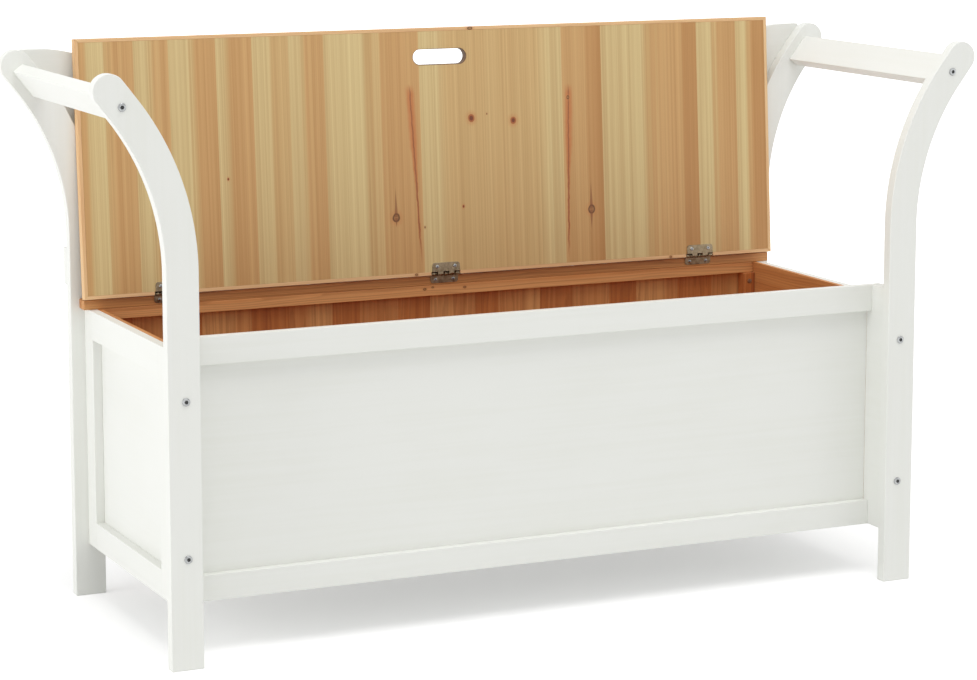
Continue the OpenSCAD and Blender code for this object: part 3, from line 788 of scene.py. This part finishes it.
@dataclass
class Box:
    """The panelled box: painted outside, bare wood inside."""

    front_panel_mm: float = -150.0
    front_inside_mm: float = -144.0
    back_face_mm: float = 185.0
    inside_tones: tuple[Tone, ...] = (
        Tone.ORANGE, Tone.HONEY, Tone.ORANGE, Tone.STRAW, Tone.ORANGE, Tone.HONEY)
    widths_mm: tuple[int, ...] = (46, 61, 38, 72, 55, 64, 41, 58, 49, 70, 36, 66, 52, 60, 44, 68, 57, 63)

    def build(self) -> None:
        """Builds the walls, the floor and the strips inside."""
        for node in ("front_rail_top", "front_rail_bottom"):
            Board(node, PAINT, "white_paint", Grain.ALONG_X, 0.6).build()
        inside = self.front_inside_mm * MM - 1e-4
        Board("front_panel", PAINT, "white_paint", Grain.ALONG_X, 0.4,
              bare=lambda c, n: c.y > inside and n.y > 0.5).build()
        boards(both("side_rail_top", "side_rail_bottom"), PAINT, "white_paint", Grain.ALONG_Y, 0.5)
        boards(both("side_stile_front", "side_stile_rear"), PAINT, "white_paint", Grain.ALONG_Z, 0.5)
        for node in both("side_panel"):
            Board(node, PAINT, "white_paint", Grain.ALONG_Y, 0.4, (Tone.STRAW, Tone.HONEY),
                  bare=self.bare_side, cut_y_mm=self.front_panel_mm).build()
        self.back()
        boards(("back_ledge",), LIT_LEDGE_WOOD, "inside_wood", Grain.ALONG_X, 0.8, (Tone.STRAW, Tone.HONEY))
        for nodes, grain in ((("floor_cleat_front", "floor_cleat_back"), Grain.ALONG_X),
                             (both("floor_cleat"), Grain.ALONG_Y)):
            for node in nodes:
                Board(node, INSIDE_WOOD, "inside_wood", grain, 0.8, bare=lambda c, n: n.z > 0.5).build()
        boards(both("corner_cleat_front", "corner_cleat_back"), INSIDE_WOOD, "inside_wood",
               Grain.ALONG_Z, 0.8, (Tone.ORANGE, Tone.RUSSET))
        boards(("hinge_batten",), BATTEN_WOOD, "batten_wood", Grain.ALONG_X, 1.2)

    def bare_side(self, centre: Vector, normal: Vector) -> bool:
        """Says which faces of a side panel are bare: the inner face within the box, and its top edge.

        Args:
            centre: The middle of the face.
            normal: The way it faces.

        Returns:
            True for bare wood.
        """
        within = centre.y > self.front_panel_mm * MM
        inwards = normal.x * math.copysign(1.0, centre.x) < -0.5
        return within and (inwards or normal.z > 0.5)

    def back(self) -> None:
        """Builds the back panel and the floor from upright boards."""
        strips = []
        kinds = len(self.inside_tones)
        for number, width in enumerate(self.widths_mm):
            left = self.inside_tones[number % kinds]
            right = self.inside_tones[(number * 5 + 2) % kinds]
            strips.append(Strip(width, left, right, 0.35 + 0.1 * (number % 4)))
        outer = self.back_face_mm * MM - 1e-4
        GluedPanel("back_panel", INSIDE_WOOD, "inside_wood", tuple(strips), extra=(PAINT,),
                   mark=lambda c, n: int(c.y > outer)).build()
        GluedPanel("floor_panel", INSIDE_WOOD, "inside_wood", tuple(strips[::-1]), Grain.ALONG_Y,
                   extra=(PAINT,), mark=lambda c, n: int(n.z < -0.5)).build()


@dataclass
class SeatLid:
    """The glued-up lid with its hand slot and mitred edging."""

    slot_half_mm: tuple[float, float] = (41.5, 12.0)
    slot_height_mm: float = 714.2

    def build(self) -> None:
        """Builds the panel and the four edging strips."""
        straw, honey, orange, russet = Tone.STRAW, Tone.HONEY, Tone.ORANGE, Tone.RUSSET
        strips = (
            Strip(34, orange, straw, 0.27), Strip(41, honey, orange, 0.2),
            Strip(49, straw, orange, 0.5), Strip(67, straw, orange, 0.5),
            Strip(52, straw, orange, 0.36), Strip(53, straw, honey, 0.5),
            Strip(51, straw, orange, 0.42), Strip(142, straw, orange, 0.52),
            Strip(110.5, straw, honey, 0.3), Strip(110.5, honey, straw, 0.7),
            Strip(63, orange, russet, 0.62), Strip(121, straw, orange, 0.64),
            Strip(35, orange, russet, 0.3), Strip(65, straw, orange, 0.45),
            Strip(48, straw, russet, 0.42),
        )
        GluedPanel("lid_panel", LID_WOOD, "lid_wood", strips, lean_deg=LID_LEAN, rim=self.near_slot,
                   rim_mm=1.2, mark=self.slot_wall, extra=(SLOT_WALL_SHADE_WOOD,)).build()
        for nodes, grain in ((("lid_edge_front", "lid_edge_rear"), Grain.ALONG_X),
                             (both("lid_edge"), Grain.ALONG_Z)):
            boards(nodes, LIPPING_WOOD, "lipping_wood", grain, 0.6, lean_deg=LID_LEAN)

    def near_slot(self, place: Vector) -> bool:
        """Says whether a point lies at the hand slot.

        Args:
            place: The point.

        Returns:
            True at the slot.
        """
        half_x, half_z = self.slot_half_mm
        return abs(place.x) < half_x * MM and abs(place.z - self.slot_height_mm * MM) < half_z * MM

    def slot_wall(self, centre: Vector, normal: Vector) -> int:
        """Picks the finish of a face of the lid panel.

        Args:
            centre: The middle of the face.
            normal: The way it faces.

        Returns:
            1 for the walls and rounded rim of the hand slot, which get painted shade, 0 elsewhere.
        """
        return int(self.near_slot(centre) and abs(normal.y) < 0.97)


@dataclass(frozen=True)
class ScrewHead:
    """A fixing with a domed head and a recess, turned about its own axis."""

    radius_mm: float
    height_mm: float
    recess_mm: float
    depth_mm: float
    corners: int
    shank_mm: float
    length_mm: float
    steps: int = 48

    def ring(self, shape: bmesh.types.BMesh, radius_mm: float, height_mm: float,
             recess: bool) -> list[bmesh.types.BMEdge]:
        """Adds one ring of the turned shape.

        Args:
            shape: The shape that gets the ring.
            radius_mm: Its radius.
            height_mm: Its height above the head's underside.
            recess: Whether it follows the recess's outline instead of a circle.

        Returns:
            The ring's edges.
        """
        made = bmesh.ops.create_circle(shape, segments=self.steps, radius=radius_mm * MM,
                                       matrix=Matrix.Translation((0, 0, height_mm * MM)))
        if recess:
            for vert in made["verts"]:
                angle = math.atan2(vert.co.y, vert.co.x)
                vert.co.xy = vert.co.xy * self.outline(angle)
        ring = set(made["verts"])
        return [e for e in shape.edges if e.verts[0] in ring and e.verts[1] in ring]

    def outline(self, angle: float) -> float:
        """Gives the recess's reach at an angle, as a share of its corners' reach.

        Args:
            angle: The angle about the axis.

        Returns:
            The share, 1 at the corners.
        """
        half = math.pi / self.corners
        away = (angle % (2 * half)) - half
        if self.corners == 6:
            return math.cos(half) / math.cos(away)
        return 1.0 if abs(abs(away) - half) < 0.32 else 0.42

    def add(self, shape: bmesh.types.BMesh, matrix: Matrix) -> None:
        """Adds one fixing.

        Args:
            shape: The shape that gets it.
            matrix: Puts the head's underside and axis in place.
        """
        part = bmesh.new()
        top, rim = self.height_mm, self.radius_mm
        hole, floor = self.recess_mm, top - self.depth_mm
        profile = [(self.shank_mm, -self.length_mm, False), (self.shank_mm, 0.0, False),
                   (rim * 0.99, 0.0, False), (rim, 0.12 * top, False),
                   (rim * 0.985, 0.5 * top, False), (rim * 0.93, 0.76 * top, False),
                   (rim * 0.82, 0.92 * top, False), (rim * 0.7, top, False),
                   (hole * 1.04, top, True), (hole, top - 0.06, True),
                   (hole * 0.98, floor, True), (0.15, floor - 0.1, False)]
        rings = [self.ring(part, *step) for step in profile]
        for first, second in zip(rings, rings[1:]):
            bmesh.ops.bridge_loops(part, edges=first + second)
        for ring in (rings[0], rings[-1]):
            bmesh.ops.edgeloop_fill(part, edges=ring)
        bmesh.ops.recalc_face_normals(part, faces=part.faces)
        for face in part.faces:
            face.smooth = True
        for edge in part.edges:
            edge.smooth = edge.calc_face_angle(0.0) < math.radians(38)
        for face in part.faces:
            # The recess and the head's lower flank take the second finish: painted shade, with some grime.
            centre = face.calc_center_median()
            inside = centre.xy.length < self.recess_mm * MM and centre.z < (top - 0.03) * MM
            flank_shade_and_grime = centre.xy.length > 0.98 * rim * MM and centre.z < 0.3 * top * MM
            face.material_index = int(centre.z > 0 and (inside or flank_shade_and_grime))
        part.transform(matrix)
        mesh = bpy.data.meshes.new("fixing")
        part.to_mesh(mesh)
        part.free()
        shape.from_mesh(mesh)
        bpy.data.meshes.remove(mesh)


def loose_parts(shape: bmesh.types.BMesh) -> list[list[Vector]]:
    """Splits a shape into the points of its separate solids.

    Args:
        shape: The shape.

    Returns:
        The points of each solid.
    """
    left, parts = set(shape.verts), []
    while left:
        todo, part = [left.pop()], []
        while todo:
            vert = todo.pop()
            part.append(vert.co.copy())
            for edge in vert.link_edges:
                other = edge.other_vert(vert)
                if other in left:
                    left.remove(other)
                    todo.append(other)
        parts.append(part)
    return parts


@dataclass
class Fixings:
    """Hinges, screws, bolts and dowels."""

    def build(self) -> None:
        """Builds the metal pieces and the dowels."""
        for node in ("hinge_lower_leaves", "hinge_upper_leaves"):
            shape = merged_shape(node)
            ease(shape, 0.25, 0.6)
            smooth_by_area(finish_piece(shape, node, [HINGE_STEEL], "hinge_steel"))
        for node, length in (("box_bolts", 44.5), ("arm_bolts", 44.5), ("back_screws", 24.5)):
            self.heads(node, ScrewHead(5.2, 1.6, 2.5, 1.1, 6, 2.5, length), ZINC, "zinc_steel")
        small = ScrewHead(2.6, 0.6, 1.5, 0.4, 4, 1.2, 8.5, 32)
        self.heads("hinge_screws_batten", small, ZINC, "hinge_steel")
        self.heads("hinge_screws_lid", small, ZINC, "hinge_steel", LID_LEAN)
        self.dress("hinge_pins", HINGE_STEEL)
        self.dress("batten_screws", ZINC)
        self.dress("cleat_screws", ZINC)
        boards(("frame_dowels",), INSIDE_WOOD, "inside_wood", Grain.ALONG_Y, 0.3)

    def dress(self, node: str, finish: Finish) -> None:
        """Dresses a CAD node whose own shape is right.

        Args:
            node: The node.
            finish: Its finish.
        """
        piece = frame["nodes"][node]
        piece.data.materials.clear()
        piece.data.materials.append(material_of(finish))

    def heads(self, node: str, head: ScrewHead, finish: Finish, slot: str, lean_deg: float = 0.0) -> None:
        """Builds a fixing at each place where the CAD node has one, with its axis along Y.

        Args:
            node: The node.
            head: The fixing.
            finish: Its finish.
            slot: The record's material slot.
            lean_deg: How far the fixings lean with the lid.
        """
        turn = Matrix.Rotation(math.radians(-lean_deg), 3, "X")
        source = merged_shape(node)
        shape = bmesh.new()
        for part in loose_parts(source):
            part = [turn.inverted() @ point for point in part]
            low, high = min(p.y for p in part), max(p.y for p in part)
            first = [p.z for p in part if p.y < low + 0.3 * MM]
            front = max(first) - min(first) > 3 * head.shank_mm * MM
            x = (min(p.x for p in part) + max(p.x for p in part)) / 2
            z = (min(p.z for p in part) + max(p.z for p in part)) / 2
            under = Vector((x, low + head.height_mm * MM if front else high - head.height_mm * MM, z))
            facing = Matrix.Rotation(math.radians(90 if front else -90), 4, "X")
            head.add(shape, turn.to_4x4() @ Matrix.Translation(under) @ facing)
        source.free()
        finish_piece(shape, node, [finish, RECESS_GRIME_AND_SHADE], slot)


@dataclass
class Studio:
    """The pale floor, the soft light and the camera at the photograph's angle."""

    lens_mm: float = 108.286
    yaw_deg: float = 25.0045
    pitch_deg: float = 8.6447
    roll_deg: float = -0.0207
    place_mm: tuple[float, float, float] = (-1667.6, -3559.5, 1047.2)
    shift: float = -0.08
    ambient: float = 0.6

    def build(self) -> None:
        """Builds the camera, the floor, the world and the lamps."""
        self.camera()
        self.floor()
        self.world()
        self.lamp("top_light", (-0.2, -1.3, 4.4), 2.8, 88)
        self.lamp("left_light", (-4.0, -0.3, 0.9), 2.6, 57)
        self.lamp("right_light", (3.4, -2.2, 1.2), 2.4, 13)

    def camera(self) -> None:
        """Adds the camera."""
        data = bpy.data.cameras.new("camera")
        data.lens = self.lens_mm
        data.sensor_fit = "HORIZONTAL"
        data.sensor_width = 36
        data.shift_y = self.shift
        data.clip_end = 50
        yaw, pitch, roll = (math.radians(a) for a in (self.yaw_deg, self.pitch_deg, self.roll_deg))
        reach = math.cos(pitch)
        forward = Vector((math.sin(yaw) * reach, math.cos(yaw) * reach, -math.sin(pitch)))
        level = Vector((math.cos(yaw), -math.sin(yaw), 0))
        down = forward.cross(level)
        right = math.cos(roll) * level + math.sin(roll) * down
        up = math.sin(roll) * level - math.cos(roll) * down
        turn = Matrix((right, up, -forward)).transposed().to_4x4()
        camera = bpy.data.objects.new("camera", data)
        camera.matrix_world = Matrix.Translation(Vector(self.place_mm) * MM) @ turn
        bpy.context.scene.collection.objects.link(camera)
        bpy.context.scene.camera = camera

    def floor(self) -> None:
        """Adds a white floor that keeps the bench's shadow."""
        mesh = bpy.data.meshes.new("floor")
        shape = bmesh.new()
        bmesh.ops.create_grid(shape, x_segments=1, y_segments=1, size=14)
        shape.to_mesh(mesh)
        shape.free()
        floor = bpy.data.objects.new("floor", mesh)
        bpy.context.scene.collection.objects.link(floor)
        material = bpy.data.materials.new("white_paper_sweep")
        material.use_nodes = True
        material.node_tree.nodes.clear()
        add = partial(add_node, material.node_tree)
        away = add("VectorMath", "LENGTH", [add("TexCoord").outputs["Object"]]).outputs["Value"]
        far = add("MapRange", SMOOTH, [away, 1.2, 3.5, 0.32, 1.0])
        glow = add("Emission", None, ["#FFFFFF", add("Math", "MULTIPLY", [self.seen(add), far])])
        paper = add("AddShader", None, [add("BsdfDiffuse", None, ["#F2F2F2"]), glow])
        add("OutputMaterial", None, [paper])
        mesh.materials.append(material)

    def world(self) -> None:
        """Sets a white backdrop and an even ambient light."""
        world = bpy.data.worlds.new("studio")
        world.use_nodes = True
        tree = world.node_tree
        tree.nodes.clear()
        add = partial(add_node, tree)
        strength = add("Math", "MULTIPLY_ADD", [self.seen(add), 1.0 - self.ambient, self.ambient])
        add("OutputWorld", None, [add("Background", None, ["#FFFFFF", strength])])
        bpy.context.scene.world = world

    def seen(self, add: Callable[..., bpy.types.Node]) -> bpy.types.Node:
        """Tells what is seen, directly, in a reflection or through glass, from what only lights.

        Args:
            add: The tree's add_node.

        Returns:
            A node that gives 1 for what is seen.
        """
        path = add("LightPath").outputs
        direct = add("Math", "MAXIMUM", [path["Is Camera Ray"], path["Is Glossy Ray"]])
        return add("Math", "MAXIMUM", [direct, path["Is Transmission Ray"]])

    def lamp(self, name: str, place: tuple[float, float, float], size: float, watts: float) -> None:
        """Adds one soft square lamp that points at the bench.

        Args:
            name: The lamp's name.
            place: Where it hangs, in metres.
            size: The length of its side, in metres.
            watts: Its power.
        """
        data = bpy.data.lights.new(name, "AREA")
        data.shape = "SQUARE"
        data.size = size
        data.energy = watts
        lamp = bpy.data.objects.new(name, data)
        lamp.location = place
        lamp.rotation_euler = (Vector((0, 0, 0.4)) - Vector(place)).to_track_quat("-Z", "Y").to_euler()
        bpy.context.scene.collection.objects.link(lamp)


def main() -> None:
    """Builds the bench's sub-assemblies in order."""
    logging.basicConfig(level=logging.INFO, format="%(name)s: %(message)s")
    bpy.context.scene.view_settings.view_transform = "Standard"
    for part in (Studio(), ArmFrames(), SeatBack(), Box(), SeatLid(), Fixings()):
        LOG.info("building %s", type(part).__name__)
        part.build()


if __name__ == "__main__":
    main()
